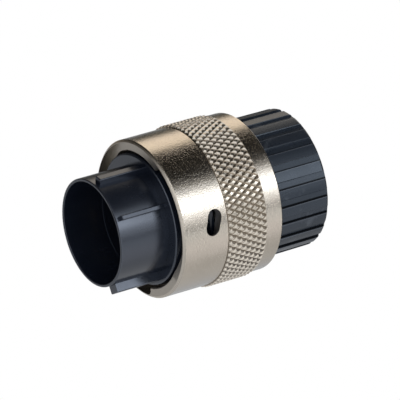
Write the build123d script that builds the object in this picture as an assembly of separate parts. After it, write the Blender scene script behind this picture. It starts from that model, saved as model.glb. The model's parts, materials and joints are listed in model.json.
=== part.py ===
"""Circular connector: a cable plug with a keyed barrel, a bayonet coupling ring and a ribbed gland nut.

Millimetres. +Z is the connector's axis and points out of the mating end. The origin is the middle of
the gland nut's flat rear face, which is what the part stands on. Polar angles are counter-clockwise
from +X, seen from the mating end.
"""
import os
from math import ceil, cos, pi, radians, sin, tan

from build123d import *

# Cable end: the stack of pieces along the axis, from the nut's rear face upwards
NUT_END_WALL = 3.0
CLAMP_RING_HEIGHT = 2.0
GLAND_SEAL_LENGTH = 6.0
SPACER_LENGTH = 2.6
SNAP_RING_HEIGHT = 1.0
PRESSURE_PLATE_HEIGHT = 1.5
WIRE_SEAL_LENGTH = 5.0
REAR_INSERT_LENGTH = 5.0
FRONT_INSERT_LENGTH = 6.0
INSERT_STOP_HEIGHT = 1.0
MATING_CAVITY_DEPTH = 16.15
SEAL_PROUD = 1.4                # how far the gland seal stands out of the shell's neck
SEAT_GAP = 0.05                 # axial gap between pieces that move apart
CUT_OVER = 1.0                  # how far a cutting tool passes the surface that it cuts
TOUCH = 0.01                    # two sizes closer than this are the same

# Plug shell
BARREL_R = 11.61
BARREL_WALL = 0.65
BARREL_REACH = 11.65            # from the rim to the flange
BARREL_BORE_DEPTH = 9.6         # full-width bore, above the tips of the pins
BARREL_STEP = 0.18
RIM_ROUND = 0.2
KEY_ROUND = 0.2
KEY_SETBACK = 1.0               # from the rim to the front end of the keys
MASTER_KEY_ANGLE = -178.0
KEY_STEPS = (0.0, -105.0, -218.0, -267.0)        # from the master key, which comes first
KEY_WIDTHS = (2.8, 1.0, 1.75, 1.0)
KEY_HEIGHTS = (1.75, 1.24, 1.24, 1.24)
FLANGE_STEP = 2.54              # from the barrel out to the flange
FLANGE_LENGTH = 9.5
FLANGE_ROUND = 0.4
FLANGE_FRONT_LAND = 4.0         # full-size part in front of the flange's relief
FLANGE_REAR_LAND = 1.0
FLANGE_RELIEF_DEPTH = 1.2
HUB_STEP = 1.4                  # from the flange in to the hub that carries the coupling ring
THREAD_STEP = 0.25              # from the hub in to the neck's thread
NECK_WALL = 2.7
NECK_CHAMFER = 0.6
INSERT_STOP_LEDGE = 0.7
NECK_SLOT_DEPTH = 3.0
NECK_SLOT_COUNT = 4

# Seal round the flange
FLANGE_SEAL_CORD_R = 0.62
FLANGE_SEAL_PROUD = 0.2
FLANGE_SEAL_SETBACK = 2.0       # from the flange's front face to the middle of the seal
SEAL_GROOVE_CLEARANCE = 0.05

# Contacts
RING_OF_CONTACTS = 7
CONTACT_CIRCLE_R = 6.2
PIN_R = 0.8
PIN_TIP_R = 0.48
PIN_REACH = 7.0                 # out of the front insert
CONTACT_BODY_R = 1.25
CONTACT_COLLAR_R = 1.6
CONTACT_COLLAR_HEIGHT = 0.9
PIN_SHOULDER_DEPTH = 1.2        # how far the thick part starts below the insert's face
CRIMP_R = 1.15
CRIMP_REACH = 2.2               # below the pressure plate
WIRE_HOLE_R = 0.8
WIRE_HOLE_DEPTH = 5.0
CAVITY_CLEARANCE = 0.06

# Snap ring and spacer in the shell's bore
SNAP_GROOVE_DEPTH = 0.6
SNAP_GROOVE_SLACK = 0.05        # between the ring and the floor of its groove
SNAP_RING_REACH = 1.1           # inwards from the bore
SNAP_RING_ANGLE = 70.0          # where the ring's opening starts
SNAP_RING_OPENING = 40.0
SPACER_WALL = 2.35

# Coupling ring
SLEEVE_GAP = 0.6                # round the flange, for the receptacle's sleeve
RING_WALL = 2.25
RING_SKIRT_GAP = 0.65           # round the gland nut
RING_SETBACK = 11.75            # from the barrel's rim to the ring's front face
RING_FRONT_BAND = 11.05
KNURL_LENGTH = 9.4
REAR_BAND = 4.15
RING_FRONT_CHAMFER = 0.5
RING_REAR_CHAMFER = 0.35
RING_LIP_THICKNESS = 1.8
RUNNING_GAP = 0.08
EDGE_BREAK = 0.2

# Diamond knurl: two crossed sets of grooves round the grip band
KNURL_HEIGHT = 0.45             # its flat tops above the plain bands
KNURL_DEPTH = 0.62              # of the grooves, to where their sides would meet in a peak
KNURL_FLAT = 0.25               # how much of each peak is cut off
KNURL_TEETH = 75
KNURL_HELIX = 30.0              # degrees between a groove and the axis
KNURL_CHAMFER = 0.3
KNURL_ROOT = 0.5                # how deep the band's solid reaches into the ring

# Bayonet: three grooves that start at the ring's front face, run round and rearwards, and end in windows
BAYONET_DEPTH = 1.65            # radial depth of the grooves
GROOVE_ANGLES = (-152.0, -12.0, 68.0)            # where each groove's rear side leaves the front face
GROOVE_SPAN = 184.4             # from there round to the middle of its window
GROOVE_WIDTH = 3.3
OPENING_END = 97.0              # how far round each groove is open to the front
OPENING_START = 60.0            # where the cut that opens it starts, inside the groove's own mouth
OPENING_DEPTH = 2.4
OPENING_ROUND = 1.2
WINDOW_DEPTH = 7.67             # from the ring's front face
WINDOW_LENGTH = 5.7
WINDOW_WIDTH = 3.25
WINDOW_TILT = 18.0

# What carries the coupling ring on the shell
SPRING_HEIGHT = 1.9
SPRING_STRIP = 0.3
SPRING_SLACK = 0.01             # left between the waves' crests and what they press on
SPRING_WAVES = 3
SPRING_POINTS = 8               # curve points in each wave
SPRING_HUB_GAP = 0.3
SPRING_RIM_GAP = 0.4
THRUST_WASHER_HEIGHT = 0.5
THRUST_WASHER_RIM_GAP = 0.35
RETAINER_HEIGHT = 1.0
RETAINER_DEPTH = 0.62           # how deep it sits in the hub
RETAINER_PROUD = 1.15           # how far it stands out of the hub
RETAINER_OPENING = 40.0         # degrees
RETAINER_GAP = 0.1
RETAINER_SEAT_GAP = 0.02

# Gland nut
NUT_WALL = 1.84                 # at the bottom of its grooves
NUT_RIB_HEIGHT = 0.65
NUT_RIB_BREAK = 0.25            # chamfer along the ribs' edges, where the nut is largest
NUT_TAPER = 0.15                # how much smaller its radius is at the rear
NUT_RIBS = 24
NUT_GROOVE_ANGLE = -82.0
NUT_GROOVE_SHARE = 0.38
NUT_FRONT_GAP = 1.5             # to the retaining ring
NUT_EDGE_CHAMFER = 0.5
NUT_REAR_ROUND = 0.7
CABLE_ENTRY_R = 6.0
CABLE_ENTRY_CHAMFER = 0.5
THREAD_CLEARANCE = 0.06
CLAMP_CLEARANCE = 0.36
CLAMP_BORE_R = 6.6
CLAMP_TAB_WIDTH = 2.6
CLAMP_TAB_CLEARANCE = 0.2
CLAMP_TAB_REACH = 2.2           # into the neck's slots
SEAL_CLEARANCE = 0.05
SEAL_BORE_R = 5.0

# Heights that follow from the stack
CLAMP_Z = NUT_END_WALL + SEAT_GAP
CLAMP_TOP = CLAMP_Z + CLAMP_RING_HEIGHT
SEAL_Z = CLAMP_TOP + SEAT_GAP
NECK_Z = SEAL_Z + SEAL_PROUD
SPACER_Z = SEAL_Z + GLAND_SEAL_LENGTH
SNAP_Z = SPACER_Z + SPACER_LENGTH
PLATE_Z = SNAP_Z + SNAP_RING_HEIGHT
WIRE_SEAL_Z = PLATE_Z + PRESSURE_PLATE_HEIGHT
REAR_INSERT_Z = WIRE_SEAL_Z + WIRE_SEAL_LENGTH
FRONT_INSERT_Z = REAR_INSERT_Z + REAR_INSERT_LENGTH
STOP_Z = FRONT_INSERT_Z + FRONT_INSERT_LENGTH
CAVITY_Z = STOP_Z + INSERT_STOP_HEIGHT
RIM_Z = CAVITY_Z + MATING_CAVITY_DEPTH

FLANGE_Z = RIM_Z - BARREL_REACH
FLANGE_REAR_Z = FLANGE_Z - FLANGE_LENGTH
SPRING_Z = FLANGE_REAR_Z - SPRING_HEIGHT
WASHER_Z = SPRING_Z - THRUST_WASHER_HEIGHT
LIP_Z = WASHER_Z - RING_LIP_THICKNESS
RETAINER_TOP = LIP_Z - RETAINER_GAP
RETAINER_Z = RETAINER_TOP - RETAINER_HEIGHT
NUT_TOP = RETAINER_Z - NUT_FRONT_GAP
HUB_END_Z = RETAINER_Z - NUT_FRONT_GAP / 2

RING_FRONT_Z = RIM_Z - RING_SETBACK
KNURL_TOP = RING_FRONT_Z - RING_FRONT_BAND
KNURL_Z = KNURL_TOP - KNURL_LENGTH
RING_REAR_Z = KNURL_Z - REAR_BAND

# Radii that follow
BARREL_BORE_R = BARREL_R - BARREL_WALL
FLANGE_R = BARREL_R + FLANGE_STEP
HUB_R = FLANGE_R - HUB_STEP
NECK_R = HUB_R - THREAD_STEP
STACK_BORE_R = NECK_R - NECK_WALL
INSERT_STOP_R = STACK_BORE_R - INSERT_STOP_LEDGE
LIP_BORE_R = HUB_R + RUNNING_GAP
RETAINER_IN_R = HUB_R - RETAINER_DEPTH
RETAINER_OUT_R = HUB_R + RETAINER_PROUD
NUT_BORE_R = NECK_R + THREAD_CLEARANCE
NUT_GROOVE_R = NUT_BORE_R + NUT_WALL
NUT_RIB_R = NUT_GROOVE_R + NUT_RIB_HEIGHT
NUT_REAR_R = NUT_RIB_R - NUT_TAPER
RING_BORE_R = FLANGE_R + SLEEVE_GAP
RING_R = RING_BORE_R + RING_WALL
RING_REAR_BORE_R = NUT_RIB_R + RING_SKIRT_GAP
BAYONET_FLOOR_R = RING_BORE_R + BAYONET_DEPTH
KNURL_FLAT_R = RING_R + KNURL_HEIGHT
KNURL_PEAK_R = KNURL_FLAT_R + KNURL_FLAT
KNURL_VALLEY_R = KNURL_PEAK_R - KNURL_DEPTH
SPRING_IN_R = HUB_R + SPRING_HUB_GAP
SPRING_OUT_R = RING_BORE_R - SPRING_RIM_GAP
THRUST_WASHER_OUT_R = RING_BORE_R - THRUST_WASHER_RIM_GAP
FITTED_R = STACK_BORE_R - SEAL_CLEARANCE
CLAMP_R = NUT_BORE_R - CLAMP_CLEARANCE
TAB_IN_R = STACK_BORE_R + CLAMP_TAB_CLEARANCE
SNAP_GROOVE_R = STACK_BORE_R + SNAP_GROOVE_DEPTH
SNAP_RING_R = SNAP_GROOVE_R - SNAP_GROOVE_SLACK
SNAP_RING_IN_R = STACK_BORE_R - SNAP_RING_REACH

# Half the knurl's pattern: from one peak to the next along a row, and from row to row
KNURL_COLUMN = 180 / KNURL_TEETH
KNURL_ROW = radians(KNURL_COLUMN) * (KNURL_FLAT_R + KNURL_VALLEY_R) / 2 / tan(radians(KNURL_HELIX))


def turned(points):
    """Solid of revolution about Z from a closed outline of (radius, height) points."""
    outline = Polyline(*[(r, 0, z) for r, z in points], close=True)
    return revolve(make_face(outline), Axis.Z)


def tube(r_out, r_in, low, high):
    return turned([(r_in, low), (r_out, low), (r_out, high), (r_in, high)])


def sector(r_in, r_out, start, span, low, high):
    """Prism over the part of a ring between two polar angles."""
    inner = CenterArc((0, 0), r_in, start, span)
    outer = CenterArc((0, 0), r_out, start, span)
    face = make_face([inner, Line(inner @ 1, outer @ 1), outer, Line(outer @ 0, inner @ 0)])
    return Pos(0, 0, low) * extrude(face, high - low)


def circle_at(solid, radius, height):
    """The solid's circular edges of that radius at that height."""
    circles = solid.edges().filter_by(GeomType.CIRCLE)
    return [e for e in circles if abs(e.radius - radius) < TOUCH and abs(e.center().Z - height) < TOUCH]


def contact_places():
    """Centres of the contacts: one in the middle and the others round it."""
    step = 360 / RING_OF_CONTACTS
    angles = [MASTER_KEY_ANGLE + i * step for i in range(RING_OF_CONTACTS)]
    around = [(CONTACT_CIRCLE_R * cos(radians(a)), CONTACT_CIRCLE_R * sin(radians(a))) for a in angles]
    return [(0.0, 0.0)] + around


def drilled(solid, radius, low, high):
    """The solid with one hole for each contact."""
    hole = Pos(0, 0, low) * extrude(Circle(radius), high - low)
    return solid - [Pos(x, y, 0) * hole for x, y in contact_places()]


def keys():
    """The four polarising keys: a box each, rounded along its outer edges."""
    length = BARREL_REACH - KEY_SETBACK + FLANGE_ROUND
    root_r = BARREL_R - BARREL_WALL / 2
    found = []
    for step, width, height in zip(KEY_STEPS, KEY_WIDTHS, KEY_HEIGHTS):
        depth = BARREL_R + height - root_r
        key = Box(depth, width, length, align=(Align.MIN, Align.CENTER, Align.MIN))
        outer = key.faces().sort_by(Axis.X)[-1].edges()
        key = fillet(outer.filter_by(Axis.Z) + [outer.sort_by(Axis.Z)[-1]], KEY_ROUND)
        turn = Rot(0, 0, MASTER_KEY_ANGLE + step)
        found.append(turn * Pos(root_r, 0, FLANGE_Z - FLANGE_ROUND) * key)
    return found


def plug_shell():
    """Barrel, keys, flange, hub and threaded neck, moulded in one."""
    step_z = RIM_Z - BARREL_BORE_DEPTH
    lower_bore_r = BARREL_BORE_R - BARREL_STEP
    body = turned([
        (BARREL_BORE_R, RIM_Z), (BARREL_BORE_R, step_z), (lower_bore_r, step_z), (lower_bore_r, CAVITY_Z),
        (INSERT_STOP_R, CAVITY_Z), (INSERT_STOP_R, STOP_Z), (STACK_BORE_R, STOP_Z), (STACK_BORE_R, NECK_Z),
        (NECK_R - NECK_CHAMFER, NECK_Z), (NECK_R, NECK_Z + NECK_CHAMFER), (NECK_R, HUB_END_Z),
        (HUB_R, HUB_END_Z), (HUB_R, FLANGE_REAR_Z), (FLANGE_R, FLANGE_REAR_Z), (FLANGE_R, FLANGE_Z),
        (BARREL_R, FLANGE_Z), (BARREL_R, RIM_Z),
    ])
    body = fillet(circle_at(body, BARREL_R, RIM_Z) + circle_at(body, BARREL_BORE_R, RIM_Z), RIM_ROUND)
    body = fillet(circle_at(body, FLANGE_R, FLANGE_Z), FLANGE_ROUND)
    body += keys()
    groove_top = FLANGE_Z - FLANGE_SEAL_SETBACK + FLANGE_SEAL_CORD_R + SEAL_GROOVE_CLEARANCE
    groove_low = FLANGE_Z - FLANGE_SEAL_SETBACK - FLANGE_SEAL_CORD_R - SEAL_GROOVE_CLEARANCE
    floor_r = FLANGE_R + FLANGE_SEAL_PROUD - 2 * FLANGE_SEAL_CORD_R - SEAL_GROOVE_CLEARANCE
    body -= tube(FLANGE_R + CUT_OVER, floor_r, groove_low, groove_top)
    body -= tube(FLANGE_R + CUT_OVER, FLANGE_R - FLANGE_RELIEF_DEPTH, FLANGE_REAR_Z + FLANGE_REAR_LAND,
                 FLANGE_Z - FLANGE_FRONT_LAND)
    body -= tube(HUB_R + CUT_OVER, RETAINER_IN_R, RETAINER_Z, RETAINER_TOP)
    body -= tube(SNAP_GROOVE_R, STACK_BORE_R - CUT_OVER, SNAP_Z, PLATE_Z)
    slot_width = CLAMP_TAB_WIDTH + 2 * CLAMP_TAB_CLEARANCE
    slot_length = 2 * (NECK_R - STACK_BORE_R + CUT_OVER)
    slot = Pos(STACK_BORE_R, 0, NECK_Z) * Box(slot_length, slot_width, 2 * NECK_SLOT_DEPTH)
    for i in range(NECK_SLOT_COUNT):
        body -= Rot(0, 0, i * 360 / NECK_SLOT_COUNT) * slot
    return body


def flange_seal():
    """Round-section ring in the flange's groove."""
    middle_r = FLANGE_R + FLANGE_SEAL_PROUD - FLANGE_SEAL_CORD_R
    return Pos(0, 0, FLANGE_Z - FLANGE_SEAL_SETBACK) * Torus(middle_r, FLANGE_SEAL_CORD_R)


def front_insert():
    """Hard disc that holds the front of the contacts."""
    body = tube(FITTED_R, 0, FRONT_INSERT_Z, STOP_Z)
    body = drilled(body, PIN_R + CAVITY_CLEARANCE, FRONT_INSERT_Z, STOP_Z)
    return drilled(body, CONTACT_BODY_R + CAVITY_CLEARANCE, FRONT_INSERT_Z, STOP_Z - PIN_SHOULDER_DEPTH)


def rear_insert():
    """Hard disc that traps the contacts' collars."""
    body = tube(FITTED_R, 0, REAR_INSERT_Z, FRONT_INSERT_Z)
    body = drilled(body, CRIMP_R + CAVITY_CLEARANCE, REAR_INSERT_Z, FRONT_INSERT_Z)
    pocket = FRONT_INSERT_Z - CONTACT_COLLAR_HEIGHT - CAVITY_CLEARANCE
    return drilled(body, CONTACT_COLLAR_R + CAVITY_CLEARANCE, pocket, FRONT_INSERT_Z)


def wire_seal():
    """Soft block with a sealing hole for each contact."""
    return drilled(tube(FITTED_R, 0, WIRE_SEAL_Z, REAR_INSERT_Z), CRIMP_R + CAVITY_CLEARANCE,
                   WIRE_SEAL_Z, REAR_INSERT_Z)


def pressure_plate():
    """Hard plate under the wire seal."""
    return drilled(tube(FITTED_R, 0, PLATE_Z, WIRE_SEAL_Z), CRIMP_R + CAVITY_CLEARANCE, PLATE_Z, WIRE_SEAL_Z)


def contact():
    """One pin contact on the axis: pin, body, collar and crimp barrel."""
    tip_z = STOP_Z + PIN_REACH
    shoulder_z = STOP_Z - PIN_SHOULDER_DEPTH - CAVITY_CLEARANCE
    collar_top = FRONT_INSERT_Z
    collar_low = collar_top - CONTACT_COLLAR_HEIGHT
    end_z = PLATE_Z - CRIMP_REACH
    return turned([
        (0, tip_z), (PIN_TIP_R, tip_z), (PIN_R, tip_z - PIN_R), (PIN_R, shoulder_z),
        (CONTACT_BODY_R, shoulder_z), (CONTACT_BODY_R, collar_top), (CONTACT_COLLAR_R, collar_top),
        (CONTACT_COLLAR_R, collar_low), (CRIMP_R, collar_low), (CRIMP_R, end_z), (WIRE_HOLE_R, end_z),
        (WIRE_HOLE_R, end_z + WIRE_HOLE_DEPTH), (0, end_z + WIRE_HOLE_DEPTH + WIRE_HOLE_R),
    ])


def snap_ring():
    """Open ring in the shell's bore that holds the inserts and seal in."""
    body = tube(SNAP_RING_R, SNAP_RING_IN_R, SNAP_Z, PLATE_Z)
    return body - sector(SNAP_RING_IN_R - CUT_OVER, SNAP_RING_R + CUT_OVER, SNAP_RING_ANGLE,
                         SNAP_RING_OPENING, SNAP_Z - CUT_OVER, PLATE_Z + CUT_OVER)


def spacer_sleeve():
    """Sleeve between the snap ring and the gland seal."""
    return tube(FITTED_R, FITTED_R - SPACER_WALL, SPACER_Z, SNAP_Z)


def gland_seal():
    """Soft sleeve that is squeezed on to the cable."""
    return tube(FITTED_R, SEAL_BORE_R, SEAL_Z, SPACER_Z)


def wave_spring():
    """Flat strip in a ring, bent in waves between the flange and the thrust washer."""
    middle_z = (SPRING_Z + FLANGE_REAR_Z) / 2
    swing = (SPRING_HEIGHT - SPRING_STRIP) / 2 - SPRING_SLACK
    count = SPRING_WAVES * SPRING_POINTS

    def edge(radius, lift):
        points = []
        for i in range(count):
            turn = 2 * pi * i / count
            z = middle_z + lift + swing * cos(SPRING_WAVES * turn)
            points.append((radius * cos(turn), radius * sin(turn), z))
        return Edge.make_spline([Vector(*p) for p in points], periodic=True)

    half = SPRING_STRIP / 2
    corners = [(SPRING_IN_R, -half), (SPRING_OUT_R, -half), (SPRING_OUT_R, half), (SPRING_IN_R, half)]
    rims = [edge(*c) for c in corners]
    faces = [Face.make_surface_from_curves(rims[i - 1], rims[i]) for i in range(len(rims))]
    return Solid(Shell(faces))


def thrust_washer():
    return tube(THRUST_WASHER_OUT_R, LIP_BORE_R, WASHER_Z, SPRING_Z)


def retaining_ring():
    """Open ring in the hub's groove, which keeps the coupling ring on."""
    body = tube(RETAINER_OUT_R, RETAINER_IN_R + RETAINER_SEAT_GAP, RETAINER_Z, RETAINER_TOP)
    gap = sector(RETAINER_IN_R - CUT_OVER, RETAINER_OUT_R + CUT_OVER, -RETAINER_OPENING / 2,
                 RETAINER_OPENING, RETAINER_Z - CUT_OVER, RETAINER_TOP + CUT_OVER)
    return body - gap


def bayonet_cuts():
    """One groove, its opening to the front and its window, cut from the bore and starting over +X."""
    low_r = RING_BORE_R - CUT_OVER
    rise = WINDOW_DEPTH + GROOVE_WIDTH / 2
    path = Helix(rise * 360 / GROOVE_SPAN, rise, (low_r + BAYONET_FLOOR_R) / 2, lefthand=True)
    start = Plane(origin=path @ 0, z_dir=path % 0, x_dir=(1, 0, 0))
    groove = sweep(start * Rectangle(BAYONET_FLOOR_R - low_r, GROOVE_WIDTH), path, is_frenet=True)
    groove = Pos(0, 0, RING_FRONT_Z - WINDOW_DEPTH) * Rot(0, 0, GROOVE_SPAN) * groove

    opening = sector(low_r, BAYONET_FLOOR_R, OPENING_START, OPENING_END - OPENING_START,
                     RING_FRONT_Z - OPENING_DEPTH, RING_FRONT_Z + CUT_OVER)
    corners = opening.edges().filter_by(Axis.Z).sort_by(SortBy.DISTANCE)[-2:]
    opening = fillet(corners, OPENING_ROUND)

    place = Plane(origin=(low_r, 0, RING_FRONT_Z - WINDOW_DEPTH), x_dir=(0, 1, 0), z_dir=(1, 0, 0))
    slot = Rot(0, 0, -WINDOW_TILT) * SlotOverall(WINDOW_LENGTH, WINDOW_WIDTH)
    window = Rot(0, 0, GROOVE_SPAN) * extrude(place * slot, RING_R + CUT_OVER - low_r)
    return [groove, opening, window]


def knurl_corner(column, row):
    """Peaks and the crossings of the grooves take turns, along each row and from row to row."""
    radius = KNURL_VALLEY_R + KNURL_DEPTH * ((column + row) % 2)
    angle = radians(column * KNURL_COLUMN)
    return Vector(radius * cos(angle), radius * sin(angle), KNURL_Z + (row - 1) * KNURL_ROW)


def knurled_band():
    """Band of four-sided pyramids between crossed grooves, with flat tops and chamfered ends."""
    columns = 2 * KNURL_TEETH
    rows = ceil(KNURL_LENGTH / KNURL_ROW) + 2
    faces = []
    for row in range(rows):
        for column in range(columns):
            around = [(column, row), (column + 1, row), (column + 1, row + 1), (column, row + 1)]
            first = (column + row) % 2
            corners = [knurl_corner(*around[(first + k) % 4]) for k in range(4)]
            for a, b in ((1, 2), (2, 3)):
                faces.append(Face(Wire.make_polygon([corners[0], corners[a], corners[b]])))
    for row in (0, rows):
        faces.append(Face(Wire.make_polygon([knurl_corner(column, row) for column in range(columns)])))
    pyramids = Solid(Shell(faces))
    low_r = RING_R - KNURL_ROOT
    end_r = KNURL_FLAT_R - KNURL_CHAMFER
    return pyramids & turned([
        (low_r, KNURL_Z), (end_r, KNURL_Z), (KNURL_FLAT_R, KNURL_Z + KNURL_CHAMFER),
        (KNURL_FLAT_R, KNURL_TOP - KNURL_CHAMFER), (end_r, KNURL_TOP), (low_r, KNURL_TOP),
    ])


def coupling_ring():
    """Turned metal ring: plain front band, knurled grip band and plain rear band."""
    body = turned([
        (RING_BORE_R + EDGE_BREAK, RING_FRONT_Z), (RING_R - RING_FRONT_CHAMFER, RING_FRONT_Z),
        (RING_R, RING_FRONT_Z - RING_FRONT_CHAMFER), (RING_R, RING_REAR_Z + RING_REAR_CHAMFER),
        (RING_R - RING_REAR_CHAMFER, RING_REAR_Z),
        (RING_REAR_BORE_R + EDGE_BREAK, RING_REAR_Z), (RING_REAR_BORE_R, RING_REAR_Z + EDGE_BREAK),
        (RING_REAR_BORE_R, LIP_Z), (LIP_BORE_R, LIP_Z), (LIP_BORE_R, WASHER_Z), (RING_BORE_R, WASHER_Z),
        (RING_BORE_R, RING_FRONT_Z - EDGE_BREAK),
    ])
    cuts = bayonet_cuts()
    for angle in GROOVE_ANGLES:
        for cut in cuts:
            body -= Rot(0, 0, angle) * cut
    return body + knurled_band()


def clamp_ring():
    """Ring that the nut pushes against the seal, with tabs that slide in the neck's slots."""
    body = tube(CLAMP_R, CLAMP_BORE_R, CLAMP_Z, CLAMP_TOP)
    reach = NECK_Z + CLAMP_TAB_REACH
    band = tube(CLAMP_R, TAB_IN_R, CLAMP_TOP - SEAT_GAP, reach)
    for i in range(NECK_SLOT_COUNT):
        bar = Box(2 * CLAMP_R, CLAMP_TAB_WIDTH, 2 * reach, align=(Align.MIN, Align.CENTER, Align.CENTER))
        body += band & (Rot(0, 0, i * 360 / NECK_SLOT_COUNT) * bar)
    return body


def gland_nut():
    """Moulded nut with grip ribs, a threaded bore and the cable's entry."""
    body = turned([
        (CABLE_ENTRY_R + CABLE_ENTRY_CHAMFER, 0), (NUT_REAR_R, 0),
        (NUT_RIB_R, NUT_TOP - NUT_EDGE_CHAMFER), (NUT_RIB_R - NUT_EDGE_CHAMFER, NUT_TOP),
        (NUT_BORE_R, NUT_TOP), (NUT_BORE_R, NUT_END_WALL),
        (CABLE_ENTRY_R, NUT_END_WALL), (CABLE_ENTRY_R, CABLE_ENTRY_CHAMFER),
    ])
    body = fillet(circle_at(body, NUT_REAR_R, 0), NUT_REAR_ROUND)
    step = 360 / NUT_RIBS
    side = radians(step * NUT_GROOVE_SHARE) / 2 * NUT_RIB_R
    low_r, high_r = NUT_RIB_R - NUT_RIB_BREAK, NUT_RIB_R + CUT_OVER
    flare = side + high_r - low_r
    outline = Polyline((NUT_GROOVE_R, -side), (low_r, -side), (high_r, -flare),
                       (high_r, flare), (low_r, side), (NUT_GROOVE_R, side), close=True)
    cut = Pos(0, 0, -CUT_OVER) * extrude(make_face(outline), NUT_TOP + 2 * CUT_OVER)
    return body - [Rot(0, 0, NUT_GROOVE_ANGLE + i * step) * cut for i in range(NUT_RIBS)]


def write(name, solid):
    solid.label = name
    export_step(solid, f"parts/{name}.step")


os.makedirs("parts", exist_ok=True)

write("plug_shell", plug_shell())
write("flange_seal", flange_seal())
write("front_insert", front_insert())
write("rear_insert", rear_insert())
write("wire_seal", wire_seal())
write("pressure_plate", pressure_plate())
write("snap_ring", snap_ring())
write("spacer_sleeve", spacer_sleeve())
write("gland_seal", gland_seal())
for number, (x, y) in enumerate(contact_places(), start=1):
    write(f"pin_contact_{number}", Pos(x, y, 0) * contact())
write("wave_spring", wave_spring())
write("thrust_washer", thrust_washer())
write("retaining_ring", retaining_ring())
write("coupling_ring", coupling_ring())
write("clamp_ring", clamp_ring())
write("gland_nut", gland_nut())
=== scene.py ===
"""Looks, studio and camera for the circular connector. Metres, in the CAD model's own frame."""
import json
from math import cos, pi, radians, sin

import bpy
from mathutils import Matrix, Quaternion, Vector

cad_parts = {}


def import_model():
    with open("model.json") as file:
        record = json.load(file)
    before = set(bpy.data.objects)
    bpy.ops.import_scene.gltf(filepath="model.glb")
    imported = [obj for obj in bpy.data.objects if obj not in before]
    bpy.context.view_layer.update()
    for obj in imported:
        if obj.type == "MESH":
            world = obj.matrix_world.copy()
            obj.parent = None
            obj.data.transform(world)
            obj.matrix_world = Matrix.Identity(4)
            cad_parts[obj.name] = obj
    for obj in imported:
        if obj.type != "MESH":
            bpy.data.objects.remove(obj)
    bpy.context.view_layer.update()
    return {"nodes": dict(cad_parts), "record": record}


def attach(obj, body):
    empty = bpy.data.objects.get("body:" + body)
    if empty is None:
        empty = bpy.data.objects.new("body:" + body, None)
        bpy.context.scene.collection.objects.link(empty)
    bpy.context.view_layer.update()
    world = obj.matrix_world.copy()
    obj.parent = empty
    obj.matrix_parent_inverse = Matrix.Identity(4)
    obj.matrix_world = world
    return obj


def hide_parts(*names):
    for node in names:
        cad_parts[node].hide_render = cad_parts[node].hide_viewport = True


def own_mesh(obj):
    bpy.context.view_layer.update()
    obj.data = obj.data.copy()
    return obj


# Camera: the photograph's, as directions about the connector's upright axis
CAMERA_AZIMUTH = -0.9435
CAMERA_ELEVATION = 29.6264
CAMERA_ROLL = -105.9776
CAMERA_DISTANCE = 1.04581
CAMERA_LENS = 450.0
CAMERA_NEAR = 0.01
CAMERA_AIM = (0.000408, 0.0, 0.022393)

# The floor lies clear of the gland nut when it is unscrewed
FLOOR_SIZE = 4.0
FLOOR_DROP = 0.009

# Hidden wave spring
SPRING = "wave_spring"

# Grip band's knurl, as the CAD has it: its ends, its teeth, half the pattern's length, and the step from a
# groove to a peak, in teeth
KNURL_LOW = 0.01715
KNURL_HIGH = 0.02655
KNURL_TEETH = 75
KNURL_ROW = 0.00125262
HALF_STEP = 0.5

# Painted shade in the grip band: how far up the pads it fades out, its shares in the grooves and in the
# line in front of the band, that line's width, and the width of its soft edges
GROOVE_SHADE_FADE = (0.08, 0.26)
GROOVE_SHADE_SHARE = 0.6
KNURL_RIM_SHADE_SHARE = 0.6
KNURL_RIM = 0.00012
KNURL_EDGE = 0.00008

# Where the coupling ring's outside ends and its duller inside starts
INSIDE_R = 0.0169
INSIDE_EDGE = 0.0002

# Gland nut's grip, in steps of a groove and a rib from +X: a groove's middle, its corner with painted
# shade on one side and the rib's edge beside it with a painted highlight. They show beyond the full
# distance from the axis, and not at all within the bare one
NUT_GROOVES = 24
NUT_GROOVE_PLACE = -82 / 360 * NUT_GROOVES
NUT_SHADED_CORNER = ((-0.22, -0.205), (-0.165, -0.12))
NUT_LIT_EDGE = ((-0.28, -0.24), (-0.225, -0.21))
NUT_BARE_R = 0.0139
NUT_FULL_R = 0.0141

# Colour of the painted shade in the corners, specular level on the ribs and in the corners, lowered there
# as painted shade, and shares of the painted highlights on the ribs' edges and of the scuffs
CORNER_SHADE_COLOUR = (0.003, 0.0035, 0.005)
CORNER_SHADE_SPECULAR = (0.5, 0.15)
EDGE_HIGHLIGHT_SHARE = 0.7
SCUFF_SHARE = 0.5

# Ranges for values that rise or fall
RISE = (0.0, 1.0)
FALL = (1.0, 0.0)

# Metals: noise levels that become 0 and 1, scales against the grain's, detail, the turning lines'
# stretch, and the shares of the finer noise in colour, gloss and relief
METAL_LEVELS = (0.3, 0.7)
PIT_LEVELS = (0.58, 0.70)
PIT_SCALE = 0.85
LINE_SCALE = 2.0
PLATED_CLOUD_SCALE = 1 / 25
KNURLED_CLOUD_SCALE = 1 / 40
GRAIN_DETAIL = 2.0
PIT_DETAIL = 0.0
CLOUD_DETAIL = 4.0
LINE_STRETCH = (0.06, 0.06, 1.0)
METAL_COLOUR_SHARE = 0.4
METAL_GLOSS_SHARE = 0.5
LINE_RELIEF_SHARE = 0.6
PIT_RELIEF_SHARE = 0.9

# Plastics and rubber: the same for the moulded skin and the marks of handling and scuffing
SKIN_LEVELS = (0.25, 0.75)
HANDLED_LEVELS = (0.35, 0.7)
SCUFF_LEVELS = (0.60, 0.75)
HANDLED_SCALE = 1 / 30
SCUFF_SCALE = 1 / 16
HANDLED_DETAIL = 5.0
SCUFF_DETAIL = 3.0
HANDLED_STRETCH = (1, 1, 0.5)
SKIN_COLOUR_SHARE = 0.5
SKIN_GLOSS_SHARE = 0.3
PLAIN_IOR = 1.5
PLAIN_TINT = (1, 1, 1)

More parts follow.
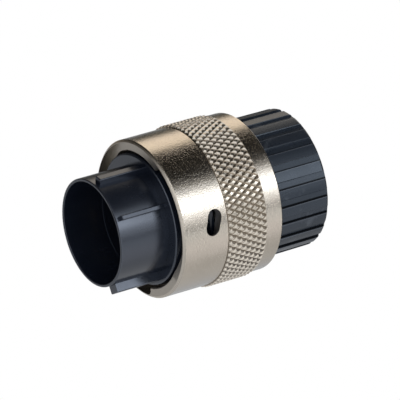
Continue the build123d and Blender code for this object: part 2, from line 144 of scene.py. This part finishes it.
# Studio panels at four heights, each as degrees round the upright axis from +X and the light from there
PANELS_FROM = -180
FULL_TURN = 360
FOOT_PANELS = (
    (-180, (0.45, 0.44, 0.42)),
    (-140, (0.70, 0.68, 0.66)),
    (-120, (1.00, 0.98, 0.95)),
    (-70, (1.10, 1.07, 1.03)),
    (-55, (0.40, 0.38, 0.35)),
    (-45, (0.15, 0.14, 0.12)),
    (-12, (0.25, 0.22, 0.18)),
    (-4, (1.10, 1.00, 0.88)),
    (17, (1.15, 1.06, 0.95)),
    (45, (2.00, 1.88, 1.70)),
    (80, (1.80, 1.70, 1.55)),
    (100, (0.60, 0.58, 0.56)),
    (180, (0.45, 0.44, 0.42)),
)
LOW_PANELS = (
    (-180, (0.66, 0.64, 0.61)),
    (-167, (0.92, 0.88, 0.86)),
    (-150, (1.07, 1.03, 1.00)),
    (-131, (0.93, 0.95, 0.93)),
    (-127, (0.90, 0.90, 0.90)),
    (-125, (0.16, 0.16, 0.16)),
    (-122, (0.16, 0.16, 0.16)),
    (-119, (1.02, 1.01, 0.98)),
    (-112, (1.28, 1.28, 1.28)),
    (-103, (1.80, 1.82, 1.84)),
    (-97, (4.00, 4.05, 4.10)),
    (-88, (4.00, 4.05, 4.10)),
    (-76, (1.75, 1.82, 1.88)),
    (-68, (0.62, 0.62, 0.60)),
    (-58, (0.09, 0.09, 0.09)),
    (-47, (0.020, 0.020, 0.020)),
    (-12, (0.015, 0.015, 0.013)),
    (-3, (0.09, 0.08, 0.07)),
    (4, (0.60, 0.52, 0.42)),
    (10, (1.40, 1.21, 0.97)),
    (24, (1.48, 1.27, 1.02)),
    (36, (1.32, 1.14, 0.94)),
    (44, (0.30, 0.27, 0.22)),
    (50, (0.10, 0.09, 0.075)),
    (64, (0.11, 0.11, 0.10)),
    (76, (0.36, 0.36, 0.36)),
    (95, (0.50, 0.52, 0.54)),
    (121, (0.54, 0.55, 0.57)),
    (145, (0.64, 0.63, 0.61)),
    (180, (0.66, 0.64, 0.61)),
)
MIDDLE_PANELS = (
    (-180, (1.50, 1.47, 1.42)),
    (-125, (2.00, 1.96, 1.90)),
    (-105, (1.90, 1.86, 1.80)),
    (-92, (1.40, 1.36, 1.29)),
    (-80, (0.90, 0.86, 0.79)),
    (-66, (0.25, 0.22, 0.18)),
    (-26, (0.10, 0.085, 0.065)),
    (-10, (0.20, 0.17, 0.13)),
    (20, (0.30, 0.25, 0.19)),
    (70, (0.35, 0.31, 0.26)),
    (100, (0.52, 0.51, 0.49)),
    (150, (0.80, 0.78, 0.75)),
    (180, (1.50, 1.47, 1.42)),
)
HIGH_PANELS = (
    (-180, (0.65, 0.65, 0.64)),
    (-120, (1.15, 1.14, 1.12)),
    (-45, (1.30, 1.29, 1.26)),
    (-22, (0.30, 0.29, 0.27)),
    (0, (0.05, 0.046, 0.04)),
    (60, (0.05, 0.046, 0.04)),
    (76, (0.30, 0.30, 0.30)),
    (90, (0.58, 0.58, 0.58)),
    (180, (0.65, 0.65, 0.64)),
)

# Sines of elevation between one height of panels and the next, and where the light fades overhead and
# underneath, with the shares that are left there
PANEL_HEIGHTS = ((-0.62, -0.55), (-0.38, -0.24), (-0.04, 0.10))
PANEL_TOP = (0.88, 0.96)
PANEL_TOP_SHARE = 0.02
PANEL_BASE = (-0.93, -0.84)
PANEL_BASE_SHARE = 0.12


def node_tree(material_name):
    """A new material's tree with its Principled shader and output."""
    material = bpy.data.materials.new(material_name)
    material.use_nodes = True
    tree = material.node_tree
    tree.nodes.clear()
    shader = tree.nodes.new("ShaderNodeBsdfPrincipled")
    output = tree.nodes.new("ShaderNodeOutputMaterial")
    tree.links.new(shader.outputs["BSDF"], output.inputs["Surface"])
    return material, tree, shader


def noise(tree, scale, detail, levels, stretch=(1, 1, 1)):
    """Noise that stays with the piece, in cycles per metre, spread from its levels to 0 and 1."""
    place = tree.nodes.new("ShaderNodeTexCoord")
    mapping = tree.nodes.new("ShaderNodeMapping")
    mapping.inputs["Scale"].default_value = stretch
    texture = tree.nodes.new("ShaderNodeTexNoise")
    texture.inputs["Scale"].default_value = scale
    texture.inputs["Detail"].default_value = detail
    tree.links.new(place.outputs["Object"], mapping.inputs["Vector"])
    tree.links.new(mapping.outputs["Vector"], texture.inputs["Vector"])
    return spread(tree, texture.outputs["Fac"], levels, RISE)


def spread(tree, value, source, target):
    """The value stretched from the source range to the target range, and held inside it."""
    node = tree.nodes.new("ShaderNodeMapRange")
    node.inputs["From Min"].default_value, node.inputs["From Max"].default_value = source
    node.inputs["To Min"].default_value, node.inputs["To Max"].default_value = target
    tree.links.new(value, node.inputs["Value"])
    return node.outputs["Result"]


def window(tree, value, rise, fall):
    """1 between the two ranges in which it rises from 0 and falls to 0 again."""
    rising = spread(tree, value, rise, RISE)
    falling = spread(tree, value, fall, FALL)
    return combined(tree, "MULTIPLY", rising, falling)


def mixed(tree, first, second, share):
    """Two values mixed, with that share of the second."""
    node = tree.nodes.new("ShaderNodeMix")
    node.inputs["Factor"].default_value = share
    tree.links.new(first, node.inputs["A"])
    tree.links.new(second, node.inputs["B"])
    return node.outputs["Result"]


def combined(tree, operation, *values):
    """Result of a sum with one or two values, each a socket or a number."""
    node = tree.nodes.new("ShaderNodeMath")
    node.operation = operation
    for socket, value in zip(node.inputs, values):
        if isinstance(value, float):
            socket.default_value = value
        else:
            tree.links.new(value, socket)
    return node.outputs["Value"]


def tinted(tree, value, dark, light):
    """Colour between two colours by the value, each a socket or a plain colour."""
    tint = tree.nodes.new("ShaderNodeMix")
    tint.data_type = "RGBA"
    for name, colour in (("A", dark), ("B", light)):
        if isinstance(colour, tuple):
            tint.inputs[name].default_value = (*colour, 1)
        else:
            tree.links.new(colour, tint.inputs[name])
    tree.links.new(value, tint.inputs["Factor"])
    return tint.outputs["Result"]


def raised(tree, shader, value, height):
    """Relief from the value, in metres."""
    bump = tree.nodes.new("ShaderNodeBump")
    bump.inputs["Distance"].default_value = height
    bump.inputs["Strength"].default_value = 1.0
    tree.links.new(value, bump.inputs["Height"])
    tree.links.new(bump.outputs["Normal"], shader.inputs["Normal"])


def coordinates(tree, kind):
    """X, Y and Z of a point in the piece, or of a direction in the studio."""
    place = tree.nodes.new("ShaderNodeTexCoord")
    parts = tree.nodes.new("ShaderNodeSeparateXYZ")
    tree.links.new(place.outputs[kind], parts.inputs["Vector"])
    return parts.outputs["X"], parts.outputs["Y"], parts.outputs["Z"]


def round_axis(tree, x, y, steps):
    """Place round the upright axis from +X, in equal steps of a turn."""
    turn = combined(tree, "ARCTAN2", y, x)
    return combined(tree, "MULTIPLY", turn, steps / (2 * pi))


def inwards(tree, start, end):
    """How far inwards a point lies between two distances from the axis, from 0 to 1."""
    place = tree.nodes.new("ShaderNodeTexCoord")
    level = tree.nodes.new("ShaderNodeVectorMath")
    level.operation = "MULTIPLY"
    level.inputs[1].default_value = (1, 1, 0)
    length = tree.nodes.new("ShaderNodeVectorMath")
    length.operation = "LENGTH"
    tree.links.new(place.outputs["Object"], level.inputs[0])
    tree.links.new(level.outputs["Vector"], length.inputs[0])
    return spread(tree, length.outputs["Value"], (end, start), FALL)


def knurl_painted_shade(tree):
    """Share of painted shade: in the grooves of the grip band, and in a fine line in front of the band."""
    x, y, z = coordinates(tree, "Object")
    along = round_axis(tree, x, y, KNURL_TEETH)
    up = combined(tree, "DIVIDE", combined(tree, "SUBTRACT", z, KNURL_LOW - KNURL_ROW), 2 * KNURL_ROW)
    crossed = [combined(tree, side, along, up) for side in ("ADD", "SUBTRACT")]
    ways = [combined(tree, "PINGPONG", steps, HALF_STEP) for steps in crossed]
    way = combined(tree, "DIVIDE", combined(tree, "MINIMUM", *ways), HALF_STEP)
    front = (KNURL_HIGH - KNURL_EDGE, KNURL_HIGH)
    band = window(tree, z, (KNURL_LOW, KNURL_LOW + KNURL_EDGE), front)
    line = window(tree, z, front, (KNURL_HIGH + KNURL_RIM, KNURL_HIGH + KNURL_RIM + KNURL_EDGE))
    grooves = combined(tree, "MULTIPLY", spread(tree, way, GROOVE_SHADE_FADE, (GROOVE_SHADE_SHARE, 0.0)), band)
    return combined(tree, "MAXIMUM", grooves, combined(tree, "MULTIPLY", line, KNURL_RIM_SHADE_SHARE))


def ribs(tree):
    """1 in the corners of the gland nut's grooves, for painted shade, and 1 on its ribs' edges, for a
    painted highlight.
    """
    x, y, _ = coordinates(tree, "Object")
    steps = combined(tree, "SUBTRACT", round_axis(tree, x, y, NUT_GROOVES), NUT_GROOVE_PLACE)
    beside = combined(tree, "SUBTRACT", steps, combined(tree, "ROUND", steps))
    outside = combined(tree, "SUBTRACT", 1.0, inwards(tree, NUT_FULL_R, NUT_BARE_R))
    strips = [window(tree, beside, *side) for side in (NUT_SHADED_CORNER, NUT_LIT_EDGE)]
    return [combined(tree, "MULTIPLY", strip, outside) for strip in strips]


def plated(name, dark, light, roughness, grain, height):
    """Plated metal: blasted grain with faint turning lines round the axis."""
    material, tree, shader = node_tree(name)
    shader.inputs["Metallic"].default_value = 1.0
    fine = noise(tree, grain, GRAIN_DETAIL, METAL_LEVELS)
    lines = noise(tree, LINE_SCALE * grain, GRAIN_DETAIL, METAL_LEVELS, LINE_STRETCH)
    clouds = noise(tree, PLATED_CLOUD_SCALE * grain, CLOUD_DETAIL, METAL_LEVELS)
    colour = tinted(tree, mixed(tree, clouds, fine, METAL_COLOUR_SHARE), dark, light)
    gloss = spread(tree, mixed(tree, clouds, lines, METAL_GLOSS_SHARE), RISE, roughness)
    tree.links.new(colour, shader.inputs["Base Color"])
    tree.links.new(gloss, shader.inputs["Roughness"])
    raised(tree, shader, mixed(tree, fine, lines, LINE_RELIEF_SHARE), height)
    return material


def knurled(name, dark, light, groove_shade_colour, roughness, dull, grain, height):
    """Plated metal of the coupling ring: sparse pits in a fine grain, duller inside, and a grip band with
    painted shade in its grooves."""
    material, tree, shader = node_tree(name)
    shader.inputs["Metallic"].default_value = 1.0
    fine = noise(tree, grain, GRAIN_DETAIL, METAL_LEVELS)
    pits = noise(tree, PIT_SCALE * grain, PIT_DETAIL, PIT_LEVELS)
    clouds = noise(tree, KNURLED_CLOUD_SCALE * grain, CLOUD_DETAIL, METAL_LEVELS)
    plain = tinted(tree, mixed(tree, clouds, fine, METAL_COLOUR_SHARE), dark, light)
    gloss = spread(tree, mixed(tree, clouds, fine, METAL_GLOSS_SHARE), RISE, roughness)
    inside = combined(tree, "MULTIPLY", inwards(tree, INSIDE_R, INSIDE_R - INSIDE_EDGE), dull)
    # Painted shade: the grip band's grooves and the fine line in front of it are tinted towards a dark
    # colour
    tree.links.new(tinted(tree, knurl_painted_shade(tree), plain, groove_shade_colour), shader.inputs["Base Color"])
    tree.links.new(combined(tree, "ADD", gloss, inside), shader.inputs["Roughness"])
    pitted = combined(tree, "ADD", fine, combined(tree, "MULTIPLY", pits, PIT_RELIEF_SHARE))
    raised(tree, shader, pitted, height)
    return material


def moulded(name, dark, light, roughness, grain, height, ior=PLAIN_IOR, sheen_tint=PLAIN_TINT):
    """Moulded plastic or rubber: fine skin, uneven gloss from handling, slight clouding."""
    material, tree, shader = node_tree(name)
    shader.inputs["IOR"].default_value = ior
    shader.inputs["Specular Tint"].default_value = (*sheen_tint, 1)
    skin = noise(tree, grain, GRAIN_DETAIL, SKIN_LEVELS)
    handled = noise(tree, HANDLED_SCALE * grain, HANDLED_DETAIL, HANDLED_LEVELS, HANDLED_STRETCH)
    colour = tinted(tree, mixed(tree, handled, skin, SKIN_COLOUR_SHARE), dark, light)
    gloss = spread(tree, mixed(tree, handled, skin, SKIN_GLOSS_SHARE), RISE, roughness)
    tree.links.new(colour, shader.inputs["Base Color"])
    tree.links.new(gloss, shader.inputs["Roughness"])
    raised(tree, shader, skin, height)
    return material


def ribbed(name, dark, light, edge_highlight_and_scuff, roughness, grain, height, ior, sheen_tint):
    """Moulded plastic of the gland nut, with painted shade in its grooves' corners and a painted highlight
    on its ribs' edges, with scuffs.
    """
    material = moulded(name, dark, light, roughness, grain, height, ior, sheen_tint)
    tree = material.node_tree
    shader = next(node for node in tree.nodes if node.type == "BSDF_PRINCIPLED")
    plain = shader.inputs["Base Color"].links[0].from_socket
    corners, edges = ribs(tree)
    scuffs = noise(tree, SCUFF_SCALE * grain, SCUFF_DETAIL, SCUFF_LEVELS)
    marks = combined(tree, "MAXIMUM", combined(tree, "MULTIPLY", edges, EDGE_HIGHLIGHT_SHARE),
                     combined(tree, "MULTIPLY", scuffs, SCUFF_SHARE))
    # Painted shade and highlight: the grooves' corners are tinted dark and the ribs' edges light; the
    # scuffs are real marks
    colour = tinted(tree, corners, tinted(tree, marks, plain, edge_highlight_and_scuff), CORNER_SHADE_COLOUR)
    tree.links.new(colour, shader.inputs["Base Color"])
    # Painted shade: the specular level is lowered in the grooves' corners
    tree.links.new(spread(tree, corners, RISE, CORNER_SHADE_SPECULAR), shader.inputs["Specular IOR Level"])
    return material


def dress(nodes, slots_of, materials):
    """Give each CAD node the material of its slot."""
    for name, node in nodes.items():
        node.data.materials.clear()
        node.data.materials.append(materials[slots_of[name]])


def flexing_spring(frame):
    """Copy of the wave spring with a mesh of its own, carried by the shell's body in place of the CAD one.
    """
    made = bpy.data.objects.new("flexing_spring", frame["nodes"][SPRING].data.copy())
    bpy.context.scene.collection.objects.link(made)
    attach(made, "shell")
    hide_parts(SPRING)
    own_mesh(made)


def panel_ramp(tree, turn, panels):
    """Colours of the panels by the share of a turn round the upright axis."""
    node = tree.nodes.new("ShaderNodeValToRGB")
    stops = node.color_ramp.elements
    ready = len(stops)
    for i, (angle, colour) in enumerate(panels):
        place = (angle - PANELS_FROM) / FULL_TURN
        stop = stops[i] if i < ready else stops.new(place)
        stop.position = place
        stop.color = (*colour, 1)
    tree.links.new(turn, node.inputs["Fac"])
    return node.outputs["Color"]


def world():
    """Studio light by direction: bright and dark panels round the upright axis, dark overhead and
    underneath. The camera itself sees white."""
    made = bpy.data.worlds.new("studio")
    bpy.context.scene.world = made
    made.use_nodes = True
    tree = made.node_tree
    tree.nodes.clear()
    place = tree.nodes.new("ShaderNodeTexCoord")
    turn = tree.nodes.new("ShaderNodeTexGradient")
    turn.gradient_type = "RADIAL"
    tree.links.new(place.outputs["Generated"], turn.inputs["Vector"])
    _, _, sine = coordinates(tree, "Generated")
    colour = panel_ramp(tree, turn.outputs["Fac"], FOOT_PANELS)
    for panels, change in zip((LOW_PANELS, MIDDLE_PANELS, HIGH_PANELS), PANEL_HEIGHTS):
        above = panel_ramp(tree, turn.outputs["Fac"], panels)
        colour = tinted(tree, spread(tree, sine, change, RISE), colour, above)
    light = tree.nodes.new("ShaderNodeBackground")
    tree.links.new(colour, light.inputs["Color"])
    top = spread(tree, sine, PANEL_TOP, (1.0, PANEL_TOP_SHARE))
    base = spread(tree, sine, PANEL_BASE, (PANEL_BASE_SHARE, 1.0))
    tree.links.new(combined(tree, "MULTIPLY", top, base), light.inputs["Strength"])
    seen = tree.nodes.new("ShaderNodeBackground")
    seen.inputs["Color"].default_value = (1, 1, 1, 1)
    mix = tree.nodes.new("ShaderNodeMixShader")
    path = tree.nodes.new("ShaderNodeLightPath")
    tree.links.new(path.outputs["Is Camera Ray"], mix.inputs["Fac"])
    tree.links.new(light.outputs["Background"], mix.inputs[1])
    tree.links.new(seen.outputs["Background"], mix.inputs[2])
    output = tree.nodes.new("ShaderNodeOutputWorld")
    tree.links.new(mix.outputs["Shader"], output.inputs["Surface"])


def floor():
    """Pale floor that only the camera sees, so that the panels light the object from all round."""
    bpy.ops.mesh.primitive_plane_add(size=FLOOR_SIZE, location=(0, 0, -FLOOR_DROP))
    made = bpy.context.object
    made.name = "floor"
    material = bpy.data.materials.new("pale_floor")
    material.use_nodes = True
    tree = material.node_tree
    tree.nodes.clear()
    glow = tree.nodes.new("ShaderNodeEmission")
    output = tree.nodes.new("ShaderNodeOutputMaterial")
    tree.links.new(glow.outputs["Emission"], output.inputs["Surface"])
    made.data.materials.append(material)
    made.visible_diffuse = False
    made.visible_glossy = False
    made.visible_shadow = False


def camera():
    """Camera at the photograph's viewing angle."""
    data = bpy.data.cameras.new("camera")
    data.lens = CAMERA_LENS
    data.clip_start = CAMERA_NEAR
    made = bpy.data.objects.new("camera", data)
    bpy.context.scene.collection.objects.link(made)
    azimuth, elevation = radians(CAMERA_AZIMUTH), radians(CAMERA_ELEVATION)
    back = Vector((sin(azimuth) * cos(elevation), -cos(azimuth) * cos(elevation), sin(elevation)))
    made.location = Vector(CAMERA_AIM) + back * CAMERA_DISTANCE
    made.rotation_mode = "QUATERNION"
    roll = Quaternion((0, 0, 1), radians(CAMERA_ROLL))
    made.rotation_quaternion = (-back).to_track_quat("-Z", "Y") @ roll
    bpy.context.scene.camera = made


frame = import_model()

materials = {
    "shell_plastic": moulded(
        "shell_plastic", dark=(0.005, 0.007, 0.013), light=(0.006, 0.009, 0.017), roughness=(0.20, 0.30),
        grain=6000, height=0.000002, ior=1.81, sheen_tint=(0.74, 0.83, 1.0)),
    # The gland nut's third colour is a painted highlight on its ribs' edges and also the colour of its
    # scuffs
    "nut_plastic": ribbed(
        "nut_plastic", dark=(0.010, 0.014, 0.022), light=(0.015, 0.020, 0.030), edge_highlight_and_scuff=(0.07, 0.08, 0.10),
        roughness=(0.22, 0.34), grain=5000, height=0.000005, ior=1.55, sheen_tint=(0.70, 0.83, 1.0)),
    "insert_plastic": moulded(
        "insert_plastic", dark=(0.008, 0.008, 0.009), light=(0.012, 0.012, 0.013), roughness=(0.4, 0.6),
        grain=6000, height=0.000005),
    # The coupling ring's third colour is painted shade in the knurl's grooves and in the line in front of
    # the band
    "plated_metal": knurled(
        "plated_metal", dark=(0.47, 0.44, 0.395), light=(0.55, 0.51, 0.46), groove_shade_colour=(0.25, 0.21, 0.165),
        roughness=(0.08, 0.14), dull=0.3, grain=4000, height=0.0000115),
    "seal_rubber": moulded(
        "seal_rubber", dark=(0.008, 0.008, 0.008), light=(0.013, 0.013, 0.013), roughness=(0.55, 0.8),
        grain=4000, height=0.00001),
    "contact_metal": plated(
        "contact_metal", dark=(0.78, 0.56, 0.24), light=(0.86, 0.64, 0.30), roughness=(0.18, 0.28),
        grain=8000, height=0.000003),
    "spring_steel": plated(
        "spring_steel", dark=(0.48, 0.48, 0.47), light=(0.56, 0.56, 0.55), roughness=(0.22, 0.34),
        grain=7000, height=0.000003),
}
slots_of = {p["node"]: p["material_slot"] for p in frame["record"]["subparts"]}
dress(frame["nodes"], slots_of, materials)
flexing_spring(frame)

world()
floor()
camera()
bpy.context.scene.view_settings.view_transform = "Standard"
